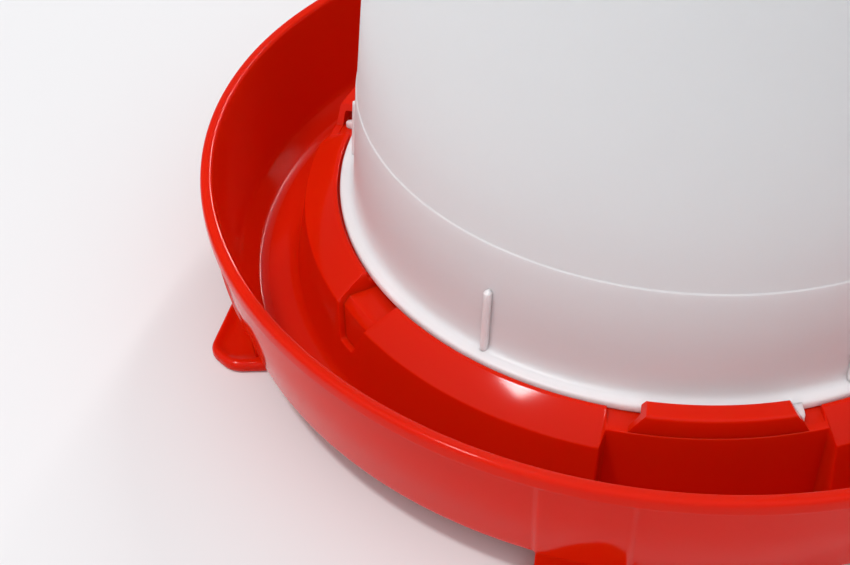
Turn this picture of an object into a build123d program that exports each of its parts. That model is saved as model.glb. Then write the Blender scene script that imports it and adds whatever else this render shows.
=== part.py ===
"""Poultry waterer fount: a base tray with moulded feet, and a tank that drops in and locks under three clips.

Millimetres, +Z up. The origin is on the tray's axis, on the surface that the feet stand on. One clip is at -Y.
"""

import os
from math import cos, degrees, radians, sin, tan

from build123d import *

os.makedirs("parts", exist_ok=True)

# ---------------------------------------------------------------- driving dimensions

# Base tray: radii are from the axis, heights from the floor.
rim_r = 180.0  # outside of the lip
rim_inner_r = 175.4
rim_z = 62.6
lip_rise = 0.6  # the lip's top is this much lower at its inner edge
lip_depth = 5.6
wall = 2.5  # moulded wall thickness
wall_top_r = 178.3  # outside of the wall, under the lip
wall_middle = (175.9, 37.0)  # the wall's outside bulges a little through here
wall_foot_r = 170.8  # outside of the wall where it turns under
wall_foot_z = 15.5
band_foot_r = 162.5  # outside of the sloped band that joins the wall to the floor
tray_floor_z = 10.0  # top of the trough floor
trough_floor_r = 157.8  # inside, the floor starts to rise here, in two bends
trough_bend = (161.6, 10.9)
trough_turn = (168.4, 17.6)
turn_radius = 6.0

# Collar: the raised ring that the tank stands in.
collar_foot_r = 146.0
collar_edge_r = 141.6  # outer end of the sloped top
collar_edge_z = 38.4
ridge_r = 130.2  # inner end of the sloped top
ridge_z = 45.4
seat_r = 128.4  # wall round the tank's flange
seat_z = 42.8  # face that the flange rests on
seat_inner_r = 116.5
collar_draft = 1.0  # how far the inner wall leans in towards its foot
ledge_r = 137.2  # outside of the low ledge that carries a clip
ledge_z = 43.4
ledge_span = 31.4  # degrees between the collar blocks at a clip

# Clips, three.
sector_count = 3
clip_angle = 270.0
clip_span = 20.6  # degrees along the clip's top
clip_foot_span = 25.6  # degrees along the foot of its sloped ends
clip_inner_r = 128.9
clip_outer_r = 136.4
clip_slot_r = 134.0  # inside of the clip's outer skin
clip_z = 51.2
clip_roof = 2.4

# Water gaps, about half way between clips.
gap_angle = clip_angle - 59.3
gap_top_span = 9.8
gap_floor_span = 3.4
gap_floor_z = 25.0

# Feet. The pad's outline is in distances outwards and along the rim, with a radius at each corner.
foot_count = 6
foot_angle = clip_angle - 15.5
foot_width = 30.5
bay_rise = 0.25  # how far the bay's flat face stands out of the round wall at its middle
foot_face_r = 168.6
foot_back_r = 148.0
pad_corners = [(169.6, -23.5), (185.0, 6.5), (179.0, 17.8), (163.0, 21.5), (163.0, -5.0), (167.0, -14.0)]
pad_radii = [2.5, 6.0, 9.0, 2.5, 0.5, 0.5]
pad_rim_corners = [(171.7, -14.2), (181.3, 6.1), (176.5, 14.4), (168.7, 16.6), (168.7, -12.0)]
pad_rim_radii = [1.5, 3.0, 6.0, 0.5, 0.5]
pad_z = 4.8
pad_dish = 1.8
pad_edge_radius = 1.4

# Tank.
flange_r = 127.4
flange_z = 46.2
mouth_z = seat_z + 0.1
skirt_foot_r = 122.0
skirt_fillet = 5.0
step_z = 90.2
step_r = 119.9
step_depth = 0.6
body_top_r = 100.3
body_top_z = 336.0
shoulder_radius = 30.0
crown_r = 30.0  # the top is level inside this radius
crown_z = 341.0
crown_radius = 400.0
tank_wall = 2.2
rib_count = 6
rib_angle = clip_angle - 37.5
rib_width = 2.8
rib_top_z = 72.0
rib_foot_r = 124.8
rib_top_r = 123.4
lug_angle = clip_angle + 12.3  # clear of the clip's roof, so that the tank lifts straight out
lug_root_width = 5.6
lug_mid_r = 129.6
lug_mid_width = 3.2
lug_tip_width = 1.4
lug_r = 132.4

# Bail and grip.
ear_x = 56.0  # middle of each ear
ear_width = 16.0
ear_thickness = 6.0
ear_play = 0.2
wire_r = 2.0
wire_bend = 14.0
wire_hook_bend = 6.0
wire_tip = 3.5  # how far the wire comes through the ear
head_r = 3.2
head_length = 1.6
bail_reach = 72.0
bail_half = 68.0
grip_r = 10.5
grip_end_r = 8.6
grip_length = 96.0
grip_bore_r = wire_r + 0.3
grip_clearance = 0.3  # between the folded grip and the tank's top

crown_slope = (crown_z - body_top_z) / (body_top_r - crown_r)
pivot_z = crown_z - (bail_reach - crown_r) * crown_slope + grip_r + grip_clearance

# ---------------------------------------------------------------- helpers


def radial_plane(angle):
    """The upright plane through the axis at an angle: its X is outwards and its Y is up."""
    a = radians(angle)
    return Plane(origin=(0, 0, 0), x_dir=(cos(a), sin(a), 0), z_dir=(sin(a), -cos(a), 0))


def facing_plane(angle, radius):
    """The upright plane across a radius: its X is along the rim and its Y is up."""
    a = radians(angle)
    centre = (radius * cos(a), radius * sin(a), 0)
    return Plane(origin=centre, x_dir=(-sin(a), cos(a), 0), z_dir=(cos(a), sin(a), 0))


def radial_wedge(angle, low_z, low_span, high_z, high_span, r_from, r_to):
    """A solid along a radius, with ends that point at the axis and a trapezium for its section."""
    with BuildPart() as wedge:
        for radius in (r_from, r_to):
            low = radius * tan(radians(low_span / 2))
            high = radius * tan(radians(high_span / 2))
            with BuildSketch(facing_plane(angle, radius)):
                with BuildLine():
                    Polyline((-low, low_z), (low, low_z), (high, high_z), (-high, high_z), close=True)
                make_face()
        loft()
    return wedge.part


def ring_sector(angle, span, points, radii):
    """A closed outline of (radius, height) points, turned about the axis with its middle at an angle."""
    with BuildPart() as sector:
        with BuildSketch(radial_plane(angle - span / 2)):
            with BuildLine():
                FilletPolyline(*points, radius=radii, close=True)
            make_face()
        revolve(axis=Axis.Z, revolution_arc=span)
    return sector.part


def span_of(length, radius):
    """Degrees that a length takes up at a radius."""
    return degrees(length / radius)


# ---------------------------------------------------------------- base tray

underside_z = tray_floor_z - wall

# The collar's outline from its inner foot over the seat and the sloped top to its outer foot.
collar_outline = [
    (seat_inner_r - collar_draft, tray_floor_z),
    (seat_inner_r, seat_z),
    (seat_r, seat_z),
    (seat_r, ridge_z),
    (ridge_r, ridge_z),
    (collar_edge_r, collar_edge_z),
    (collar_foot_r, tray_floor_z),
]
collar_radii = [3.0, 0.8, 0.5, 0.4, 0.8, 1.2, 4.0]

trough_outline = [
    (trough_floor_r, tray_floor_z),
    trough_bend,
    trough_turn,
    (wall_middle[0] - wall, wall_middle[1]),
    (rim_inner_r, rim_z - lip_rise),
    (rim_r, rim_z),
    (rim_r, rim_z - lip_depth),
    (wall_top_r, rim_z - lip_depth - 1.0),
    wall_middle,
    (wall_foot_r, wall_foot_z),
    (band_foot_r, underside_z),
]
trough_radii = [2.0, 2.5, turn_radius, 150.0, 1.4, 2.0, 0.5, 0.5, 150.0, turn_radius, turn_radius]

# A clip's outer skin and roof, with ends that slope in.
clip_section = [
    (ledge_r, seat_z - 1.0),
    (clip_outer_r, clip_z),
    (clip_inner_r, clip_z),
    (clip_inner_r, clip_z - clip_roof),
    (clip_slot_r, clip_z - clip_roof),
    (clip_slot_r, seat_z - 1.0),
]
near_r = clip_inner_r - 20
far_r = ledge_r + 20

with BuildPart() as clip:
    add(ring_sector(clip_angle, clip_foot_span + 2.0, clip_section, [0, 1.2, 0.8, 0, 1.0, 0]))
    sloped_ends = radial_wedge(clip_angle, ledge_z, clip_foot_span, clip_z, clip_span, near_r, far_r)
    below_ledge = radial_wedge(clip_angle, 0, clip_foot_span, ledge_z, clip_foot_span, near_r, far_r)
    add(sloped_ends + below_ledge, mode=Mode.INTERSECT)

# The walls and the space of a water channel. Its sides go on up past the ridge.
over = 10.0
flare = (gap_top_span - gap_floor_span) / (ridge_z - gap_floor_z)
top_span = gap_top_span + over * flare
side = span_of(wall, ridge_r)
channel = radial_wedge(gap_angle, gap_floor_z, gap_floor_span, ridge_z + over, top_span, 100, 160)
channel_outside = radial_wedge(
    gap_angle, gap_floor_z - wall, gap_floor_span + side * 1.6, ridge_z + over, top_span + side * 2, 100, 160
)

with BuildPart() as channel_walls:
    add(ring_sector(gap_angle, top_span + 4.0, collar_outline, collar_radii))
    add(channel_outside, mode=Mode.INTERSECT)

# A foot: a flat-faced bay on the wall with a stem under it, and a dished pad in front of the stem.
foot_plane = radial_plane(foot_angle)
pad_plane = Plane(origin=(0, 0, 0), x_dir=foot_plane.x_dir, z_dir=(0, 0, 1))

with BuildPart() as pad:
    with BuildSketch(pad_plane):
        with BuildLine():
            FilletPolyline(*pad_corners, radius=pad_radii, close=True)
        make_face()
    extrude(amount=pad_z)
    fillet(pad.faces().sort_by(Axis.Z)[-1].edges(), radius=pad_edge_radius)
    with BuildSketch(pad_plane.offset(pad_z)):
        with BuildLine():
            FilletPolyline(*pad_rim_corners, radius=pad_rim_radii, close=True)
        make_face()
    extrude(amount=-pad_dish, taper=35, mode=Mode.SUBTRACT)

with BuildPart() as foot:
    with BuildSketch(foot_plane):
        with BuildLine():
            FilletPolyline(
                (wall_top_r + bay_rise, rim_z - lip_depth - 1.0),
                (wall_middle[0] + bay_rise, wall_middle[1]),
                (wall_foot_r + bay_rise, wall_foot_z),
                (foot_face_r, wall_foot_z - 2.6),
                (foot_face_r, 0),
                (foot_back_r, 0),
                (foot_back_r, underside_z + 1.0),
                (band_foot_r - 2.0, underside_z + 1.0),
                (wall_foot_r - 1.2, wall_foot_z + 0.2),
                (wall_middle[0] - 1.2, wall_middle[1]),
                (wall_top_r - 1.2, rim_z - lip_depth - 1.0),
                radius=[0, 150.0, 1.0, 0.5, 0, 0, 0, 0, 0, 150.0, 0],
                close=True,
            )
        make_face()
    extrude(amount=foot_width / 2, both=True)
    add(pad.part)

with BuildPart() as base_tray:
    with BuildSketch(Plane.XZ):
        with BuildLine():
            points = [(0, tray_floor_z)] + collar_outline + trough_outline + [(0, underside_z)]
            FilletPolyline(*points, radius=[0] + collar_radii + trough_radii + [0], close=True)
        make_face()
    revolve(axis=Axis.Z)

    # At a clip the collar is cut back to an upright face under a low ledge.
    cut_z = ridge_z + 5
    cut_r = collar_foot_r + 6
    ledge_face = [(ledge_r, tray_floor_z), (ledge_r, cut_z), (cut_r, cut_z), (cut_r, tray_floor_z)]
    slot_face = [(seat_r - 1, seat_z), (seat_r - 1, cut_z), (clip_slot_r, cut_z), (clip_slot_r, seat_z)]
    top_from_r = clip_slot_r - 1
    top_to_r = ledge_r + 1
    ledge_top = [(top_from_r, ledge_z), (top_from_r, cut_z), (top_to_r, cut_z), (top_to_r, ledge_z)]
    with PolarLocations(0, sector_count):
        add(ring_sector(clip_angle, ledge_span, ledge_face, [1.5, 0, 0, 0]), mode=Mode.SUBTRACT)
        add(ring_sector(clip_angle, ledge_span, slot_face, [0, 0, 0, 0]), mode=Mode.SUBTRACT)
        add(ring_sector(clip_angle, ledge_span, ledge_top, [0, 0, 0, 0]), mode=Mode.SUBTRACT)

    # The collar is hollow underneath, all the way round under the seat and out to its foot in each block.
    hollow_inner_r = seat_inner_r + wall
    with BuildSketch(Plane.XZ):
        with BuildLine():
            Polyline(
                (hollow_inner_r, 0),
                (hollow_inner_r, seat_z - wall),
                (ledge_r - wall, seat_z - wall),
                (ledge_r - wall, 0),
                close=True,
            )
        make_face()
    revolve(axis=Axis.Z, mode=Mode.SUBTRACT)
    block_hollow = ring_sector(
        gap_angle,
        360.0 / sector_count - ledge_span - 2 * span_of(wall, ledge_r),
        [
            (hollow_inner_r + 2, 0),
            (hollow_inner_r + 2, seat_z - wall),
            (ridge_r + 3.4, seat_z - wall),
            (collar_edge_r - 2.1, collar_edge_z - 1.6),
            (collar_foot_r - 2.1, 0),
        ],
        [0, 0, 1.0, 1.0, 0],
    )
    with PolarLocations(0, sector_count):
        add(block_hollow, mode=Mode.SUBTRACT)
        add(channel_walls.part)
        add(clip.part)
        add(channel, mode=Mode.SUBTRACT)

    with PolarLocations(0, foot_count):
        add(foot.part)

base_tray.part.label = "base_tray"
export_step(base_tray.part, "parts/base_tray.step")

# ---------------------------------------------------------------- tank

with BuildPart() as rib:
    with BuildSketch(radial_plane(rib_angle)):
        with BuildLine():
            FilletPolyline(
                (skirt_foot_r - tank_wall + 0.8, flange_z - 1.0),
                (rib_foot_r, flange_z - 1.0),
                (rib_top_r, rib_top_z),
                (step_r - tank_wall + 0.8, rib_top_z),
                radius=[0, 0, 1.6, 0],
                close=True,
            )
        make_face()
    extrude(amount=rib_width / 2, both=True)
    outer_edges = rib.edges().filter_by(lambda e: e.length > 15).sort_by(
        lambda e: (e.center().X ** 2 + e.center().Y ** 2) ** 0.5
    )[-2:]
    fillet(outer_edges, radius=1.2)

with BuildPart() as ear:
    with BuildSketch(Plane.YZ.offset(ear_x - ear_thickness / 2)):
        with Locations((0, pivot_z)):
            Circle(ear_width / 2)
        with Locations((0, pivot_z)):
            Rectangle(ear_width, pivot_z - crown_z + 3.0, align=(Align.CENTER, Align.MAX))
        with Locations((0, pivot_z)):
            Circle(wire_r + ear_play, mode=Mode.SUBTRACT)
    extrude(amount=ear_thickness)

# A locking lug: a tongue on the flange that narrows to its tip.
lug_tip_half = lug_tip_width / 2
lug_plan = [
    (flange_r - 3, -lug_root_width / 2),
    (flange_r, -lug_root_width / 2),
    (lug_mid_r, -lug_mid_width / 2),
    (lug_r, -lug_tip_half),
    (lug_r, lug_tip_half),
    (lug_mid_r, lug_mid_width / 2),
    (flange_r, lug_root_width / 2),
    (flange_r - 3, lug_root_width / 2),
]
lug_plane = Plane(origin=(0, 0, mouth_z), x_dir=radial_plane(lug_angle).x_dir, z_dir=(0, 0, 1))

with BuildPart() as lug:
    with BuildSketch(lug_plane):
        with BuildLine():
            FilletPolyline(*lug_plan, radius=[0, 0.5, 1.5, 0.5, 0.5, 1.5, 0.5, 0], close=True)
        make_face()
    extrude(amount=flange_z - mouth_z)

with BuildPart() as fount_tank:
    with BuildSketch(Plane.XZ):
        with BuildLine():
            FilletPolyline(
                (skirt_foot_r - tank_wall, mouth_z),
                (flange_r, mouth_z),
                (flange_r, flange_z),
                (skirt_foot_r, flange_z),
                (step_r, step_z),
                (step_r - step_depth, step_z + step_depth),
                (body_top_r, body_top_z),
                (crown_r, crown_z),
                (0, crown_z),
                (0, crown_z - tank_wall),
                (crown_r, crown_z - tank_wall),
                (body_top_r - tank_wall, body_top_z - tank_wall),
                (step_r - step_depth - tank_wall, step_z + step_depth),
                radius=[
                    0.6,
                    0.8,
                    1.0,
                    skirt_fillet,
                    0,
                    0.5,
                    shoulder_radius,
                    crown_radius,
                    0,
                    0,
                    crown_radius,
                    shoulder_radius - tank_wall,
                    0,
                ],
                close=True,
            )
        make_face()
    revolve(axis=Axis.Z)
    with PolarLocations(0, rib_count):
        add(rib.part)
    with PolarLocations(0, sector_count):
        add(lug.part)
    add(ear.part)
    add(ear.part.mirror(Plane.YZ))

fount_tank.part.label = "fount_tank"
export_step(fount_tank.part, "parts/fount_tank.step")

# ---------------------------------------------------------------- bail, folded back over the top of the tank

wire_end_x = ear_x - ear_thickness / 2 - wire_tip

with BuildPart() as bail_wire:
    with BuildLine(Plane.XY.offset(pivot_z)) as wire_path:
        FilletPolyline(
            (wire_end_x, 0),
            (bail_half, 0),
            (bail_half, bail_reach),
            (-bail_half, bail_reach),
            (-bail_half, 0),
            (-wire_end_x, 0),
            radius=[wire_hook_bend, wire_bend, wire_bend, wire_hook_bend],
        )
    with BuildSketch(Plane(origin=(wire_end_x, 0, pivot_z), z_dir=(1, 0, 0))):
        Circle(wire_r)
    sweep(path=wire_path.line)
    for x in (wire_end_x, -wire_end_x - head_length):
        with BuildSketch(Plane(origin=(x, 0, pivot_z), z_dir=(1, 0, 0))):
            Circle(head_r)
        extrude(amount=head_length)

bail_wire.part.label = "bail_wire"
export_step(bail_wire.part, "parts/bail_wire.step")

# ---------------------------------------------------------------- grip, turning on the middle of the bail

with BuildPart() as bail_grip:
    with BuildSketch(Plane.XY):
        with BuildLine():
            FilletPolyline(
                (-grip_length / 2, grip_bore_r),
                (-grip_length / 2, grip_end_r),
                (-grip_length / 4, grip_r),
                (grip_length / 4, grip_r),
                (grip_length / 2, grip_end_r),
                (grip_length / 2, grip_bore_r),
                radius=[0.5, 2.5, 60.0, 60.0, 2.5, 0.5],
                close=True,
            )
        make_face()
    revolve(axis=Axis.X)

bail_grip.part.position = (0, bail_reach, pivot_z)
bail_grip.part.label = "bail_grip"
export_step(bail_grip.part, "parts/bail_grip.step")
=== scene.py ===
"""A poultry waterer fount: a red trough tray on moulded feet, a natural plastic tank and a wire bail with a grip."""

import math

import bmesh
import bpy
import numpy as np
from bpy.props import FloatProperty, FloatVectorProperty, PointerProperty
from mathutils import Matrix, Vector


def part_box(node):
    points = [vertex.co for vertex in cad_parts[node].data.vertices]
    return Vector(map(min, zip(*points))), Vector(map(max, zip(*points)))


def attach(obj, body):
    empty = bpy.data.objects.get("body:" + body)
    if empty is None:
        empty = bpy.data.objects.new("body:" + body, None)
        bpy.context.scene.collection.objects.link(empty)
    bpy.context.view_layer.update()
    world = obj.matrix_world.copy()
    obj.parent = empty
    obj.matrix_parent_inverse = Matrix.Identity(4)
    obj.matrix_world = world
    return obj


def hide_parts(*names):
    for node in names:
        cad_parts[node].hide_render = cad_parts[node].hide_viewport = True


bl_info = {
    "name": "Poultry Waterer Fount",
    "version": (1, 0, 0),
    "blender": (4, 5, 0),
    "location": "View3D > Sidebar > Waterer",
    "description": "Builds a poultry waterer fount round its CAD frame: tray, tank, bail, grip and a studio stage",
    "category": "Add Mesh",
}

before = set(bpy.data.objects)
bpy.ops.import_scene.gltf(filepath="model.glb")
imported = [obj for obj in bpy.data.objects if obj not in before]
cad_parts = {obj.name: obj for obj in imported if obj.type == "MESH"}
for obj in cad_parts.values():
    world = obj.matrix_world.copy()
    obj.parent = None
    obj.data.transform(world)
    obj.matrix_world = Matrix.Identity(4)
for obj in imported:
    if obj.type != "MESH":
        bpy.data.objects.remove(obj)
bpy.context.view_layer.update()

MM = 0.001

# Lengths below are in millimetres and angles in degrees from +X. The front is at 270. The tray's clips and water
# gaps and the tank's lugs repeat once a sector, and each ANGLE is where the first of its kind stands.
SECTORS = 3
FEET = 6
RIBS = 6
CLIP_ANGLE = 270.0
GAP_ANGLE = 210.7
FOOT_ANGLE = 254.5
RIB_ANGLE = 232.5
LUG_ANGLE = CLIP_ANGLE + 12.3

# Heights that several of the tray's surfaces share.
PAN_TOP = 10.0
PAN_UNDER = 7.5
CHANNEL_FLOOR = 25.0
EDGE_TOP = 38.4
SEAT_TOP = 42.8
CLIP_FOOT = 43.4
RIDGE_TOP = 45.4

# The low ledge under a clip: its half span in degrees, and the part of that over which the section changes.
LEDGE_REACH = 16.0
LEDGE_BLEND = 0.6

# The level that the tank stands on, the top of its flange, and the ears' two faces and rounding.
TANK_FOOT = 42.9
FLANGE_TOP = 46.2
EAR_INSIDE = 53.0
EAR_OUTSIDE = 59.0
EAR_RADIUS = 8.0

# The bail's wire: its radius, half its width and how far it reaches behind its pivot.
WIRE_RADIUS = 2.0
BAIL_HALF_WIDTH = 68.0
BAIL_REACH = 72.0

# ---------------------------------------------------------------- colour and nodes


def colour_of(hex_colour):
    """An sRGB hex colour as linear red, green, blue and alpha."""
    channels = [int(hex_colour[i : i + 2], 16) / 255 for i in (0, 2, 4)]
    linear = [c / 12.92 if c <= 0.04045 else ((c + 0.055) / 1.055) ** 2.4 for c in channels]
    return (*linear, 1.0)


def add_node(tree, kind, links=(), **settings):
    """Adds a node, sets its inputs or its own settings, and links (input name, output socket) pairs to it."""
    node = tree.nodes.new(kind)
    for name, value in settings.items():
        if hasattr(node, name):
            setattr(node, name, value)
        else:
            node.inputs[name.replace("_", " ")].default_value = value
    for name, socket in links:
        tree.links.new(socket, node.inputs[name])
    return node


def new_material(name):
    """A material with an empty tree and its output node."""
    material = bpy.data.materials.new(name)
    material.use_nodes = True
    material.node_tree.nodes.clear()
    output = material.node_tree.nodes.new("ShaderNodeOutputMaterial")
    return material, material.node_tree, output


# ---------------------------------------------------------------- geometry in millimetres


def bend(a, corner, b, radius, count):
    """Points of a rounded corner, from the side towards a to the side towards b."""
    a, corner, b = (np.array(p, float) for p in (a, corner, b))
    to_a = (a - corner) / np.linalg.norm(a - corner)
    to_b = (b - corner) / np.linalg.norm(b - corner)
    turn = math.pi - math.acos(np.clip(to_a @ to_b, -1, 1))
    most = 0.46  # of the shorter side, so that the bends at its two ends never meet
    least = 0.05
    room = most * min(np.linalg.norm(a - corner), np.linalg.norm(b - corner))
    reach = min(max(radius * math.tan(turn / 2), least), room)
    start, end = corner + to_a * reach, corner + to_b * reach
    steps = np.linspace(0, 1, count + 1)[:, None]
    return (1 - steps) ** 2 * start + 2 * steps * (1 - steps) * corner + steps**2 * end


def rounded(corners, closed=False, count=4):
    """An outline of (x, y, radius) corners with its corners rounded, always with the same number of points."""
    points = [np.array(c[:2], float) for c in corners]
    outline = []
    last = len(points) - 1
    for i, corner in enumerate(corners):
        if not closed and i in (0, last):
            outline.append(points[i][None])
            continue
        outline.append(bend(points[i - 1], points[i], points[(i + 1) % len(points)], corner[2], count))
    return np.vstack(outline)


def divided(outline, breaks):
    """The outline with extra points: breaks maps the index of a point to how many go between it and the next."""
    out = []
    for i, point in enumerate(outline):
        out.append(point)
        for j in range(breaks.get(i, 0)):
            out.append(point + (outline[i + 1] - point) * (j + 1) / (breaks[i] + 1))
    return np.array(out)


def soft_min(a, b, size):
    """The lower of two values, with the change from one to the other rounded over a size."""
    h = np.clip(0.5 + (b - a) / (2 * size), 0, 1)
    return b + (a - b) * h - size * h * (1 - h)


def eased(x):
    """0 to 1 with a level start and end."""
    x = np.clip(x, 0, 1)
    return x * x * (3 - 2 * x)


def grid_mesh(name, grid, wrap_columns=False, wrap_rows=False, cap_rows=False, cap_columns=False):
    """A mesh of quads through a grid of points in millimetres, column by column."""
    columns, rows = grid.shape[:2]
    faces = []
    for j in range(columns if wrap_columns else columns - 1):
        k = (j + 1) % columns
        for i in range(rows if wrap_rows else rows - 1):
            n = (i + 1) % rows
            faces.append((j * rows + i, k * rows + i, k * rows + n, j * rows + n))
    if cap_rows:
        faces.append(tuple(j * rows for j in reversed(range(columns))))
        faces.append(tuple(j * rows + rows - 1 for j in range(columns)))
    if cap_columns:
        faces.append(tuple(range(rows)))
        faces.append(tuple((columns - 1) * rows + i for i in reversed(range(rows))))
    mesh = bpy.data.meshes.new(name)
    mesh.from_pydata((grid.reshape(-1, 3) * MM).tolist(), [], faces)
    return mesh


def tidy_mesh(mesh):
    """Merges points that meet, turns every face outwards and shades it smooth."""
    shape = bmesh.new()
    shape.from_mesh(mesh)
    bmesh.ops.remove_doubles(shape, verts=shape.verts, dist=0.002 * MM)
    bmesh.ops.recalc_face_normals(shape, faces=shape.faces)
    for face in shape.faces:
        face.smooth = True
    shape.to_mesh(mesh)
    shape.free()


def join_meshes(name, meshes):
    """One mesh of several."""
    shape = bmesh.new()
    for mesh in meshes:
        shape.from_mesh(mesh)
        bpy.data.meshes.remove(mesh)
    joined = bpy.data.meshes.new(name)
    shape.to_mesh(joined)
    shape.free()
    return joined


def add_piece(name, mesh, material, body, bevel=0.0):
    """A piece of the object in the scene, riding on its CAD body, with its sharp edges bevelled if asked."""
    piece = bpy.data.objects.new(name, mesh)
    bpy.context.scene.collection.objects.link(piece)
    mesh.materials.append(material)
    if bevel:
        rounding = piece.modifiers.new("edges", "BEVEL")
        rounding.width = bevel * MM
        rounding.segments = 3
        rounding.limit_method = "ANGLE"
        rounding.angle_limit = math.radians(35)
        rounding.harden_normals = True
    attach(piece, body)
    return piece


def turned(outline, columns=240):
    """A grid that turns an outline of (radius, height) points about the upright axis."""
    angles = np.linspace(0, 2 * math.pi, columns, endpoint=False)
    r, z = outline[:, 0], outline[:, 1]
    return np.array([np.column_stack((r * math.cos(a), r * math.sin(a), z)) for a in angles])


def moved(grid, turn=0.0, shift=(0, 0, 0)):
    """A grid of points shifted, then turned about the upright axis by degrees."""
    a = math.radians(turn)
    spin = np.array(((math.cos(a), math.sin(a), 0), (-math.sin(a), math.cos(a), 0), (0, 0, 1)))
    return (grid + np.array(shift, float)) @ spin


def around(first, count):
    """Evenly spaced directions, from the first one on."""
    return [first + 360 / count * k for k in range(count)]


def apart(angle, centre, count):
    """Degrees from the nearest of several evenly spaced directions, with its sign."""
    pitch = 360.0 / count
    return (angle - centre + pitch / 2) % pitch - pitch / 2


# ---------------------------------------------------------------- tray


def channel_height(angle):
    """Height of a water channel's floor and flared sides at an angle. Away from a channel it is over the ridge."""
    floor_half, flare, rise = 1.7, 3.2, 20.4  # degrees, degrees and millimetres
    soft_foot = 1.2
    off = abs(apart(angle, GAP_ANGLE, SECTORS))
    flank = CHANNEL_FLOOR + (off - floor_half) * rise / flare
    return -soft_min(-CHANNEL_FLOOR, -flank, soft_foot)


def collar_corners(angle):
    """Corners of the collar's top at an angle and the ledge's share in them: a block, or a clip's low ledge, with
    the water channels cut down into the blocks."""
    inner_draft, outer_draft, top_slope = 0.03, 0.155, 0.614
    inside_r, seat_r, ridge_r, edge_r = 115.5, 116.5, 130.2, 141.6
    soft_edge, least_slope = 0.3, 1.2
    cut = channel_height(angle)
    seat, ridge, edge = (soft_min(top, cut, soft_edge) for top in (SEAT_TOP, RIDGE_TOP, EDGE_TOP))
    edge_r += (EDGE_TOP - edge) * outer_draft
    ridge_r = min(ridge_r + (RIDGE_TOP - ridge) / top_slope, edge_r - least_slope)
    block = [
        (inside_r, PAN_TOP, 3.0),
        (seat_r - (SEAT_TOP - seat) * inner_draft, seat, 0.8),
        (128.4, seat, 0.5),
        (128.5, ridge, 0.4),
        (ridge_r, ridge, 0.8),
        (edge_r, edge, 1.2),
        (146.0, PAN_TOP, 4.0),
    ]
    ledge = [
        (inside_r, PAN_TOP, 3.0),
        (seat_r, SEAT_TOP, 0.8),
        (133.8, SEAT_TOP, 0.2),
        (134.0, CLIP_FOOT, 0.2),
        (135.6, CLIP_FOOT, 0.2),
        (137.2, CLIP_FOOT, 0.7),
        (137.6, PAN_TOP, 2.0),
    ]
    off = abs(apart(angle, CLIP_ANGLE, SECTORS))
    share = eased((LEDGE_REACH - off) / LEDGE_BLEND)
    return np.array(block) * (1 - share) + np.array(ledge) * share, share


def tray_outline(angle):
    """The tray's whole section at an angle, from the middle of the pan, over the rim and back underneath."""
    collar, ledge_share = collar_corners(angle)
    inner_wall = [
        (157.8, PAN_TOP, 2.2),
        (161.6, 10.9, 2.5),
        (168.4, 17.6, 7.0),
        (173.4, 37.0, 150.0),
        (175.4, 62.0, 1.6),
    ]
    lip = [(180.0, 62.6, 2.1), (180.0, 57.2, 0.7), (178.3, 56.2, 0.5)]
    outer_wall = [(178.1, 54.0, 0.3), (175.9, 37.0, 150.0), (170.8, 15.5, 6.0), (162.5, PAN_UNDER, 6.0)]
    # The collar is hollow underneath, and the hollow is narrower under a ledge.
    hollow_foot_r = 143.9 - 9.2 * ledge_share
    hollow_side_r = 139.5 - 4.8 * ledge_share
    hollow = [
        (hollow_foot_r, PAN_UNDER, 1.5),
        (hollow_side_r, 36.8, 1.0),
        (hollow_side_r - 3.0, 39.4, 1.0),
        (119.0, 39.4, 1.5),
        (118.2, PAN_UNDER, 1.5),
    ]
    middle_top, middle_under = (1.0, PAN_TOP, 0), (1.0, PAN_UNDER, 0)
    corners = [middle_top] + collar.tolist() + inner_wall + lip + outer_wall + hollow + [middle_under]
    # The long flat runs get extra points, after the last point of the corner that each starts from.
    count = 5  # points of each rounded corner
    trough = len(collar) * count
    outside = trough + (len(inner_wall) + len(lip) + 1) * count
    breaks = {0: 20}
    breaks.update({trough: 3, trough + 2 * count: 1, trough + 3 * count: 4, trough + 4 * count: 5})
    breaks.update({outside: 4, outside + count: 4, outside + 2 * count: 1, outside + 3 * count: 4})
    return divided(rounded(corners), breaks)


def bay_shift(angle, r):
    """How far a flat bay on the wall's outside moves a point outwards, over each foot."""
    half_width, side_width, proud = 16.4, 2.3, 0.25
    off = math.radians(abs(apart(angle, FOOT_ANGLE, FEET)))
    across = r * math.tan(off)
    inside = eased((half_width - across) / side_width)
    flat = (r + proud) / math.cos(off) - r
    return inside * flat


def column_angles():
    """Angles of the tray's columns, close together where the section changes."""
    ledge_end = LEDGE_REACH - LEDGE_BLEND / 2
    bay_end = 5.08  # from the middle of a foot to the side of its bay
    angles = set(np.round(np.arange(0, 360, 1.5), 3).tolist())
    for side in (-1, 1):
        for clip in around(CLIP_ANGLE, SECTORS):
            angles.update(np.round(clip + side * ledge_end + np.arange(-0.6, 0.61, 0.12), 3) % 360)
        for gap in around(GAP_ANGLE, SECTORS):
            angles.update(np.round(gap + side * np.arange(0.0, 7.0, 0.25), 3) % 360)
        for foot in around(FOOT_ANGLE, FEET):
            angles.update(np.round(foot + side * bay_end + np.arange(-0.6, 0.61, 0.2), 3) % 360)
    return sorted(float(a) for a in angles)


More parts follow.
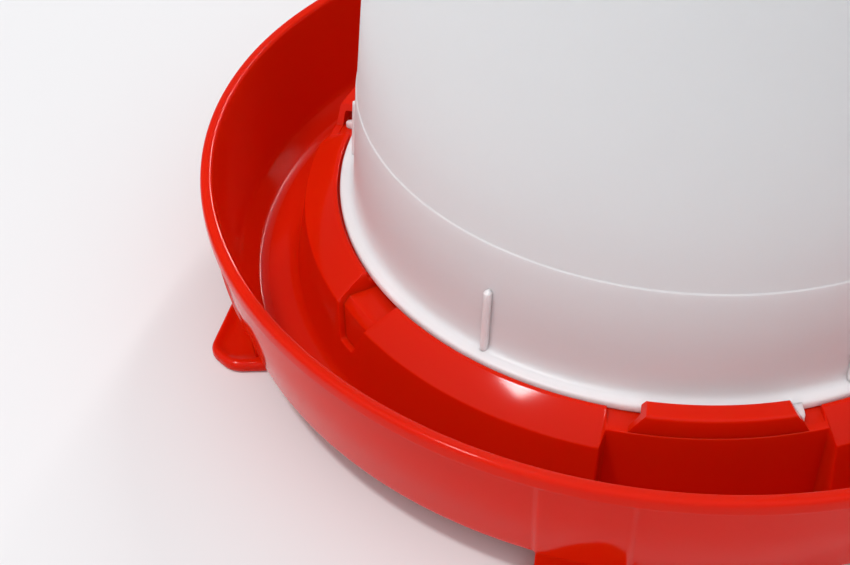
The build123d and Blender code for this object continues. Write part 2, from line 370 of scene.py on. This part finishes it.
def tray_shell():
    """The tray without its clips and feet."""
    bay_top, bay_top_blend = 56.9, 0.7
    bay_foot_r, bay_foot_blend = 169.5, 0.8
    columns = []
    for angle in column_angles():
        section = tray_outline(angle)
        a = math.radians(angle)
        r, z = section[:, 0], section[:, 1]
        outside = np.arange(len(r)) >= np.argmax(r)
        on_bay = eased((bay_top - z) / bay_top_blend) * eased((r - bay_foot_r) / bay_foot_blend) * outside
        r = r + on_bay * np.array([bay_shift(angle, v) for v in r])
        columns.append(np.column_stack((r * math.cos(a), r * math.sin(a), z)))
    return grid_mesh("tray_shell", np.array(columns), wrap_columns=True, cap_rows=True)


def clip_mesh(angle):
    """A clip: an outer skin on the ledge and a roof that reaches in over the lugs' slot, with sloped ends."""
    root, slot_top, roof = 42.0, 48.8, 51.2
    section = rounded(
        [
            (136.9, root, 0.3),
            (136.4, roof, 1.3),
            (128.9, roof, 0.9),
            (128.9, slot_top, 0.5),
            (134.0, slot_top, 1.0),
            (134.0, root, 0.3),
        ],
        closed=True,
        count=3,
    )
    half_span, end_slope = 12.8, 2.5  # degrees at the foot, and how many fewer at the top
    half = half_span - end_slope * np.clip((section[:, 1] - CLIP_FOOT) / (roof - CLIP_FOOT), 0, 1)
    columns = []
    for u in np.linspace(-1, 1, 25):
        angles = np.radians(angle + u * half)
        columns.append(
            np.column_stack((section[:, 0] * np.cos(angles), section[:, 0] * np.sin(angles), section[:, 1]))
        )
    return grid_mesh("clip", np.array(columns), wrap_rows=True, cap_columns=True)


def stem_mesh(angle):
    """The stem between the ground and the tray: it follows the tray's turned-under edge."""
    half_width = 15.2
    outline = [(148.0, 0.0), (148.0, 8.6), (161.6, 8.6), (167.4, 14.2), (169.2, 14.2), (168.6, 12.6), (168.6, 0.0)]
    grid = np.array([[(r, y, z) for r, z in outline] for y in np.linspace(-half_width, half_width, 5)])
    return grid_mesh("stem", moved(grid, angle), wrap_rows=True, cap_columns=True)


def pad_mesh(angle):
    """A foot's pad: a plate in front of the stem, drawn out to one side, with a soft rim round a shallow dish."""
    plan = rounded(
        [(169.6, -23.5, 3.0), (185.0, 6.5, 8.0), (179.0, 17.8, 11.0), (163.0, 21.5, 3.0), (163.0, 0.0, 1.0)],
        closed=True,
        count=10,
    )
    middle = np.array((172.6, 3.0))
    # Each ring's share of the plan and its height: the flat underside, the edge, the rim and the dish.
    underside = [(0.04, 0.0), (0.92, 0.0)]
    edge = [(0.97, 0.4), (1.0, 1.5), (1.0, 3.2), (0.985, 4.0)]
    rim = [(0.945, 4.6), (0.88, 4.8), (0.8, 4.5)]
    dish = [(0.7, 3.8), (0.6, 3.2), (0.45, 3.0), (0.04, 3.0)]
    rings = []
    for share, height in underside + edge + rim + dish:
        ring = middle + (plan - middle) * share
        rings.append(np.column_stack((ring, np.full(len(ring), height))))
    return grid_mesh("pad", moved(np.array(rings), angle), wrap_rows=True, cap_columns=True)


# ---------------------------------------------------------------- tank


def tank_shell():
    """The tank's turned wall: flange, skirt, step, tapered body, shoulder and crown, outside and inside."""
    outline = rounded(
        [
            (1.0, 338.8, 0),
            (30.0, 338.8, 400.0),
            (98.1, 333.8, 27.8),
            (117.1, 90.8, 1.0),
            (119.8, TANK_FOOT, 0.7),
            (127.4, TANK_FOOT, 0.9),
            (127.4, FLANGE_TOP, 1.2),
            (122.1, 46.9, 4.2),
            (119.9, 90.0, 0.4),
            (119.5, 90.5, 0.5),
            (100.3, 336.0, 30.0),
            (30.0, 341.0, 400.0),
            (1.0, 341.0, 0),
        ],
        count=6,
    )
    # Extra points on the long runs: crown, shoulder, body and skirt inside, then skirt, body, shoulder and crown.
    breaks = {0: 6, 7: 2, 14: 24, 21: 6, 49: 6, 63: 24, 70: 2, 77: 6}
    return grid_mesh("tank_shell", turned(divided(outline, breaks), 288), wrap_columns=True, cap_rows=True)


def rib_mesh(angle):
    """A slim upright rib on the skirt with a rounded back and a ball at its top."""
    foot, top = 45.0, 72.4
    round_start, round_height = 71.0, 1.42
    half_width, least_width = 1.35, 0.05
    low_end = 0.35  # share of the rib's depth that is left at its very top
    arc = np.linspace(0, math.pi, 9)
    columns = []
    for t in np.linspace(0, 1, 26):
        height = foot + (top - foot) * t
        back = 124.5 - 1.3 * t
        root = 121.0 - 1.4 * t
        tip = math.sqrt(max(1.0 - max(0.0, (height - round_start) / round_height) ** 2, 0.0))
        half = half_width * max(tip, least_width)
        depth = (back - root) * (low_end + (1 - low_end) * tip)
        plan = [(root, -half)]
        plan += [(root + depth - half + half * math.sin(a), -half * math.cos(a)) for a in arc]
        plan += [(root, half)]
        columns.append([(x, y, height) for x, y in plan])
    return grid_mesh("rib", moved(np.array(columns), angle), wrap_rows=True, cap_columns=True)


def lug_mesh(angle):
    """A locking lug on the flange: a short tongue that narrows to a rounded tip."""
    draft = 0.8  # width at the top as a share of the width at the foot
    grid = []
    for r, half, foot, top in (
        (124.5, 2.2, TANK_FOOT, FLANGE_TOP),
        (127.8, 2.0, TANK_FOOT, FLANGE_TOP),
        (130.6, 1.3, TANK_FOOT, 46.1),
        (132.0, 0.9, TANK_FOOT, 45.8),
        (132.6, 0.4, TANK_FOOT + 0.3, 45.2),
    ):
        grid.append([(r, -half, foot), (r, half, foot), (r, half * draft, top), (r, -half * draft, top)])
    return grid_mesh("lug", moved(np.array(grid), angle), wrap_rows=True, cap_columns=True)


def ear_mesh(side, pivot):
    """An ear for the bail: a round-topped plate with a hole, standing on the crown."""
    hole = 2.25
    sunk = 338.0  # the ear's foot, inside the crown's wall
    columns = []
    for a in np.linspace(0, 2 * math.pi, 48, endpoint=False):
        y, z = math.cos(a), math.sin(a)
        reach = EAR_RADIUS
        if z < 0:
            reach = min(EAR_RADIUS / max(abs(y), 1e-6), (pivot - sunk) / -z)
        half = [(0.0, hole), (0.0, reach - 0.7), (0.25, reach - 0.15), (0.8, reach)]
        rows = [(EAR_INSIDE + inset, r) for inset, r in half]
        rows += [(EAR_OUTSIDE - inset, r) for inset, r in reversed(half)]
        columns.append([(side * x, r * y, pivot + r * z) for x, r in rows])
    return grid_mesh("ear", np.array(columns), wrap_columns=True, wrap_rows=True)


# ---------------------------------------------------------------- bail and grip


def bail_path(half, reach):
    """The bail's line on one level: out through one ear, back over the crown, across behind it and in again."""
    corners = [
        (49.5, 0.0, 0),
        (half, 0.0, 6.0),
        (half, reach, 14.0),
        (-half, reach, 14.0),
        (-half, 0.0, 6.0),
        (-49.5, 0.0, 0),
    ]
    return rounded(corners, count=12)


def tube_mesh(name, path, radius, height, sides=20):
    """A round wire along a level path."""
    steps = np.gradient(path, axis=0)
    steps /= np.linalg.norm(steps, axis=1)[:, None]
    rings = []
    for point, step in zip(path, steps):
        across = np.array((-step[1], step[0]))
        ring = []
        for a in np.linspace(0, 2 * math.pi, sides, endpoint=False):
            x, y = point + across * radius * math.cos(a)
            ring.append((x, y, height + radius * math.sin(a)))
        rings.append(ring)
    return grid_mesh(name, np.array(rings), wrap_rows=True, cap_columns=True)


def turned_along_x(outline, centre, columns=64):
    """A grid that turns an outline of (x, radius) points about a line along X through a centre."""
    angles = np.linspace(0, 2 * math.pi, columns, endpoint=False)
    x, r = outline[:, 0], outline[:, 1]
    y0, z0 = centre
    return np.array([np.column_stack((x, y0 + r * math.cos(a), z0 + r * math.sin(a))) for a in angles])


def head_mesh(side, height):
    """The upset end that keeps the wire in its ear."""
    head_r = 3.2
    outline = rounded([(46.2, 0.1, 0), (46.2, 2.6, 0.9), (47.1, head_r, 0.6), (49.4, head_r, 0.6), (49.6, 1.5, 0)])
    outline[:, 0] *= side
    grid = turned_along_x(outline, (0.0, height), 32)
    return grid_mesh("head", grid, wrap_columns=True, cap_rows=True)


def grip_mesh(reach, height, length):
    """The grip: a tube with a soft swell, finger grooves and rounded ends, bored for the wire."""
    bore, middle_r, taper, taper_power = 2.3, 10.5, 1.9, 2.6
    groove_depth, groove_pitch, plain_end, groove_fade = 0.55, 20.5, 9.0, 8.0
    end_round = 2.0
    half = length / 2
    xs = np.linspace(-half + end_round, half - end_round, 121)
    swell = middle_r - taper * np.abs(xs / half) ** taper_power
    wave = 0.5 - 0.5 * np.cos(2 * math.pi * xs / groove_pitch)
    grooves = groove_depth * wave * eased((half - plain_end - np.abs(xs)) / groove_fade)
    body = np.column_stack((xs, swell - grooves))
    shoulder = body[0, 1] - 0.1
    left = rounded([(-half, bore, 0), (-half, 5.0, 0.3), (-half, shoulder, 1.8), (*body[0], 0)])
    right = left[::-1] * np.array((-1, 1))
    outline = np.vstack((left[:-1], body, right[1:], (half - 0.02, bore)))
    return grid_mesh("grip", turned_along_x(outline, (reach, height), 72), wrap_columns=True, wrap_rows=True)


# ---------------------------------------------------------------- materials


def moulded_polypropylene(name, colour, shade, roughness):
    """Injection-moulded polypropylene copolymer: a deep even colour under a gloss that is a little uneven, as from
    a polished mould, with slow sink marks that bend the reflections and a very fine skin that softens them. Red
    light goes a few millimetres into it, which fills its shadows and softens its edges."""
    material, tree, output = new_material(name)
    place = add_node(tree, "ShaderNodeTexCoord").outputs["Object"]
    # Sink marks about 45 mm apart, and a skin of about 0.6 mm, drawn that coarse so that it shows at all.
    sink = add_node(tree, "ShaderNodeTexNoise", [("Vector", place)], Scale=1 / 0.045, Detail=2.0, Roughness=0.4)
    skin = add_node(tree, "ShaderNodeTexNoise", [("Vector", place)], Scale=1 / 0.0006, Detail=1.0, Roughness=0.5)
    tone = add_node(tree, "ShaderNodeMix", [("Factor", sink.outputs["Fac"])], data_type="RGBA")
    tone.inputs["A"].default_value = colour
    tone.inputs["B"].default_value = shade
    duller, glossier = roughness * 1.2, roughness * 0.85
    gloss = add_node(
        tree, "ShaderNodeMapRange", [("Value", sink.outputs["Fac"])], To_Min=glossier, To_Max=duller
    )
    slow = add_node(tree, "ShaderNodeBump", [("Height", sink.outputs["Fac"])], Strength=0.10, Distance=0.0010)
    fine = add_node(
        tree,
        "ShaderNodeBump",
        [("Height", skin.outputs["Fac"]), ("Normal", slow.outputs["Normal"])],
        Strength=0.05,
        Distance=0.00005,
    )
    shader = add_node(
        tree,
        "ShaderNodeBsdfPrincipled",
        [
            ("Base Color", tone.outputs["Result"]),
            ("Roughness", gloss.outputs["Result"]),
            ("Normal", fine.outputs["Normal"]),
        ],
        IOR=1.49,
        Specular_IOR_Level=0.12,
        Subsurface_Weight=0.5,
        Subsurface_Radius=(1.0, 0.08, 0.03),
        Subsurface_Scale=0.006,
    )
    tree.links.new(shader.outputs["BSDF"], output.inputs["Surface"])
    return material


def natural_polyethylene(name, colour):
    """Natural high-density polyethylene, moulded thin: milky white with a waxy sheen, and light comes through it,
    so that the red of the tray glows softly in the skirt."""
    material, tree, output = new_material(name)
    place = add_node(tree, "ShaderNodeTexCoord").outputs["Object"]
    # Flow marks about 60 mm apart run through the wall, and the skin has a fine orange peel of about 1.2 mm.
    flow = add_node(tree, "ShaderNodeTexNoise", [("Vector", place)], Scale=1 / 0.06, Detail=3.0, Roughness=0.5)
    peel = add_node(tree, "ShaderNodeTexNoise", [("Vector", place)], Scale=1 / 0.0012, Detail=1.0, Roughness=0.5)
    gloss = add_node(
        tree, "ShaderNodeMapRange", [("Value", flow.outputs["Fac"])], To_Min=0.34, To_Max=0.46
    )
    fine = add_node(tree, "ShaderNodeBump", [("Height", peel.outputs["Fac"])], Strength=0.06, Distance=0.0001)
    shader = add_node(
        tree,
        "ShaderNodeBsdfPrincipled",
        [("Roughness", gloss.outputs["Result"]), ("Normal", fine.outputs["Normal"])],
        IOR=1.53,
        Base_Color=colour,
        Subsurface_Weight=1.0,
        Subsurface_Radius=(1.0, 0.95, 0.92),
        Subsurface_Scale=0.006,
    )
    tree.links.new(shader.outputs["BSDF"], output.inputs["Surface"])
    return material


def zinc_plated_wire(name, colour):
    """Drawn steel wire, bright zinc plated: a cool grey metal whose gloss is finely mottled by the plating."""
    material, tree, output = new_material(name)
    place = add_node(tree, "ShaderNodeTexCoord").outputs["Object"]
    # The plating's mottle, about 1.5 mm across.
    spangle = add_node(tree, "ShaderNodeTexNoise", [("Vector", place)], Scale=1 / 0.0015, Detail=3.0, Roughness=0.6)
    gloss = add_node(
        tree, "ShaderNodeMapRange", [("Value", spangle.outputs["Fac"])], To_Min=0.22, To_Max=0.42
    )
    fine = add_node(tree, "ShaderNodeBump", [("Height", spangle.outputs["Fac"])], Strength=0.12, Distance=0.0001)
    shader = add_node(
        tree,
        "ShaderNodeBsdfPrincipled",
        [("Roughness", gloss.outputs["Result"]), ("Normal", fine.outputs["Normal"])],
        Metallic=1.0,
        Base_Color=colour,
    )
    tree.links.new(shader.outputs["BSDF"], output.inputs["Surface"])
    return material


def studio_floor(name, colour):
    """Matt white studio board: an even pale surface with only a soft shadow on it."""
    material, tree, output = new_material(name)
    place = add_node(tree, "ShaderNodeTexCoord").outputs["Object"]
    # Paper tooth of about 0.8 mm.
    tooth = add_node(tree, "ShaderNodeTexNoise", [("Vector", place)], Scale=1 / 0.0008, Detail=2.0)
    fine = add_node(tree, "ShaderNodeBump", [("Height", tooth.outputs["Fac"])], Strength=0.05, Distance=0.0001)
    shader = add_node(
        tree,
        "ShaderNodeBsdfPrincipled",
        [("Normal", fine.outputs["Normal"])],
        Base_Color=colour,
        Roughness=0.85,
    )
    tree.links.new(shader.outputs["BSDF"], output.inputs["Surface"])
    return material


# ---------------------------------------------------------------- settings


class WatererSettings(bpy.types.PropertyGroup):
    """Sizes and colours that a user would change."""

    grip_length: FloatProperty(
        name="Grip length",
        description="Length of the turning grip",
        default=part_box("bail_grip")[1].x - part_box("bail_grip")[0].x,
        unit="LENGTH",
        subtype="DISTANCE",
    )
    red_colour: FloatVectorProperty(
        name="Red",
        description="Colour of the tray's and the grip's polypropylene",
        default=colour_of("D61E03")[:3],
        size=3,
        subtype="COLOR",
    )
    red_shade: FloatVectorProperty(
        name="Red shade",
        description="The slightly deeper colour that drifts through the red polypropylene",
        default=colour_of("CE1A03")[:3],
        size=3,
        subtype="COLOR",
    )
    tank_colour: FloatVectorProperty(
        name="Tank",
        description="Colour of the tank's natural polyethylene",
        default=colour_of("EFEFF0")[:3],
        size=3,
        subtype="COLOR",
    )
    tray_roughness: FloatProperty(
        name="Tray roughness", description="Roughness of the moulded tray", default=0.1, subtype="FACTOR"
    )
    grip_roughness: FloatProperty(
        name="Grip roughness", description="Roughness of the handled grip", default=0.3, subtype="FACTOR"
    )
    light_power: FloatProperty(
        name="Light power", description="Power that both lights take a share of", default=9.0, unit="POWER"
    )
    sky: FloatVectorProperty(
        name="Room",
        description="Colour of the studio's white surroundings",
        default=colour_of("F8F8FA")[:3],
        size=3,
        subtype="COLOR",
    )


# ---------------------------------------------------------------- operators


class WATERER_OT_tray(bpy.types.Operator):
    """Build the tray with its collar, clips and feet"""

    bl_idname = "waterer.tray"
    bl_label = "Tray"

    def execute(self, context):
        settings = context.scene.waterer
        red = moulded_polypropylene(
            "moulded_red_polypropylene",
            (*settings.red_colour, 1.0),
            (*settings.red_shade, 1.0),
            settings.tray_roughness,
        )
        shell = tray_shell()
        tidy_mesh(shell)
        tray = add_piece("tray", shell, red, "tray")
        clips = join_meshes("clips", [clip_mesh(angle) for angle in around(CLIP_ANGLE, SECTORS)])
        tidy_mesh(clips)
        add_piece("tray_clips", clips, red, "tray", bevel=0.5)
        parts = []
        for angle in around(FOOT_ANGLE, FEET):
            parts += [stem_mesh(angle), pad_mesh(angle)]
        feet = join_meshes("feet", parts)
        tidy_mesh(feet)
        add_piece("tray_feet", feet, red, "tray", bevel=0.4)
        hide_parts("base_tray")
        return {"FINISHED"}


class WATERER_OT_tank(bpy.types.Operator):
    """Build the tank with its ribs, lugs and ears"""

    bl_idname = "waterer.tank"
    bl_label = "Tank"

    def execute(self, context):
        white = natural_polyethylene("moulded_natural_polyethylene", (*context.scene.waterer.tank_colour, 1.0))
        low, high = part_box("bail_wire")
        pivot = (low.z + high.z) / 2 / MM
        shell = tank_shell()
        tidy_mesh(shell)
        tank = add_piece("tank", shell, white, "tank")
        parts = [lug_mesh(angle) for angle in around(LUG_ANGLE, SECTORS)]
        parts += [rib_mesh(angle) for angle in around(RIB_ANGLE, RIBS)]
        parts += [ear_mesh(side, pivot) for side in (1, -1)]
        fittings = join_meshes("fittings", parts)
        tidy_mesh(fittings)
        add_piece("tank_ribs_lugs_ears", fittings, white, "tank", bevel=0.3)
        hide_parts("fount_tank")
        return {"FINISHED"}


class WATERER_OT_bail(bpy.types.Operator):
    """Build the wire bail"""

    bl_idname = "waterer.bail"
    bl_label = "Bail"

    def execute(self, context):
        steel = zinc_plated_wire("zinc_plated_steel_wire", colour_of("C9CCCF"))
        low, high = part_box("bail_wire")
        height = (low.z + high.z) / 2 / MM
        tube = tube_mesh("tube", bail_path(BAIL_HALF_WIDTH, BAIL_REACH), WIRE_RADIUS, height)
        wire = join_meshes("wire", [tube, head_mesh(1, height), head_mesh(-1, height)])
        tidy_mesh(wire)
        bail = add_piece("bail", wire, steel, "bail")
        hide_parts("bail_wire")
        return {"FINISHED"}


class WATERER_OT_grip(bpy.types.Operator):
    """Build the turning grip"""

    bl_idname = "waterer.grip"
    bl_label = "Grip"

    def execute(self, context):
        settings = context.scene.waterer
        red = moulded_polypropylene(
            "moulded_red_grip", (*settings.red_colour, 1.0), (*settings.red_shade, 1.0), settings.grip_roughness
        )
        low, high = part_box("bail_grip")
        middle = (low + high) / 2 / MM
        mesh = grip_mesh(middle.y, middle.z, settings.grip_length / MM)
        tidy_mesh(mesh)
        grip = add_piece("grip", mesh, red, "grip")
        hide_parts("bail_grip")
        return {"FINISHED"}


def add_softbox(name, place, target, size, power):
    """A rectangular area light that faces a target."""
    lamp = bpy.data.lights.new(name, "AREA")
    lamp.shape = "RECTANGLE"
    lamp.size, lamp.size_y = size
    lamp.energy = power
    light = bpy.data.objects.new(name, lamp)
    light.location = place
    light.rotation_euler = (Vector(target) - Vector(place)).to_track_quat("-Z", "Y").to_euler()
    bpy.context.scene.collection.objects.link(light)


class WATERER_OT_stage(bpy.types.Operator):
    """Set up the floor, the soft studio light and the camera"""

    bl_idname = "waterer.stage"
    bl_label = "Stage"

    def execute(self, context):
        settings = context.scene.waterer
        scene = context.scene
        scene.view_settings.view_transform = "Standard"
        board = studio_floor("white_studio_board", colour_of("E4E4E5"))
        reach = 6000.0
        corners = np.array([[(x, y, 0.0) for y in (-reach, reach)] for x in (-reach, reach)])
        floor = bpy.data.objects.new("floor", grid_mesh("floor", corners))
        floor.data.materials.append(board)
        scene.collection.objects.link(floor)

        world = bpy.data.worlds.new("studio_room")
        world.use_nodes = True
        background = world.node_tree.nodes["Background"]
        background.inputs["Color"].default_value = (*settings.sky, 1.0)
        # The room is brightest overhead and towards the front, and falls off to a dim back wall.
        brightest = (-0.1, -0.5, 0.86)
        way = add_node(world.node_tree, "ShaderNodeTexCoord").outputs["Generated"]
        facing = add_node(world.node_tree, "ShaderNodeVectorMath", operation="DOT_PRODUCT")
        world.node_tree.links.new(way, facing.inputs[0])
        facing.inputs[1].default_value = brightest
        level = add_node(
            world.node_tree,
            "ShaderNodeMapRange",
            [("Value", facing.outputs["Value"])],
            interpolation_type="SMOOTHSTEP",
            From_Min=0.2,
            From_Max=0.9,
            To_Min=0.26,
            To_Max=1.1,
        )
        world.node_tree.links.new(level.outputs["Result"], background.inputs["Strength"])
        scene.world = world

        middle = (0.0, 0.0, 0.08)
        overhead_share, back_share = 1.4, 1.5
        power = settings.light_power
        add_softbox("softbox_overhead", (-0.75, -0.3, 1.75), middle, (0.2, 0.2), power * overhead_share)
        add_softbox("strip_back", (0.47, 1.76, 0.85), middle, (0.1, 1.4), power * back_share)

        lens = bpy.data.cameras.new("camera")
        lens.lens = 59.294
        lens.sensor_width = 36.0
        camera = bpy.data.objects.new("camera", lens)
        camera.location = (-0.09807, -0.44235, 0.37905)
        camera.rotation_euler = (math.radians(48.764), 0.0, math.radians(-0.53))
        scene.collection.objects.link(camera)
        scene.camera = camera
        return {"FINISHED"}


class WATERER_PT_panel(bpy.types.Panel):
    """Lists the operators and the settings"""

    bl_idname = "WATERER_PT_panel"
    bl_label = "Poultry waterer"
    bl_space_type = "VIEW_3D"
    bl_region_type = "UI"
    bl_category = "Waterer"

    def draw(self, context):
        for operator in OPERATORS:
            self.layout.operator(operator.bl_idname)
        for name in WatererSettings.__annotations__:
            self.layout.prop(context.scene.waterer, name)


OPERATORS = (WATERER_OT_tray, WATERER_OT_tank, WATERER_OT_bail, WATERER_OT_grip, WATERER_OT_stage)
CLASSES = (WatererSettings, *OPERATORS, WATERER_PT_panel)


def register():
    """Makes the settings, the operators and the panel known to Blender."""
    for item in CLASSES:
        bpy.utils.register_class(item)
    bpy.types.Scene.waterer = PointerProperty(type=WatererSettings)


def unregister():
    """Takes back what register did."""
    del bpy.types.Scene.waterer
    for item in reversed(CLASSES):
        bpy.utils.unregister_class(item)


def main():
    """Builds the whole scene."""
    register()
    bpy.ops.waterer.tray()
    bpy.ops.waterer.tank()
    bpy.ops.waterer.bail()
    bpy.ops.waterer.grip()
    bpy.ops.waterer.stage()


if __name__ == "__main__":
    main()
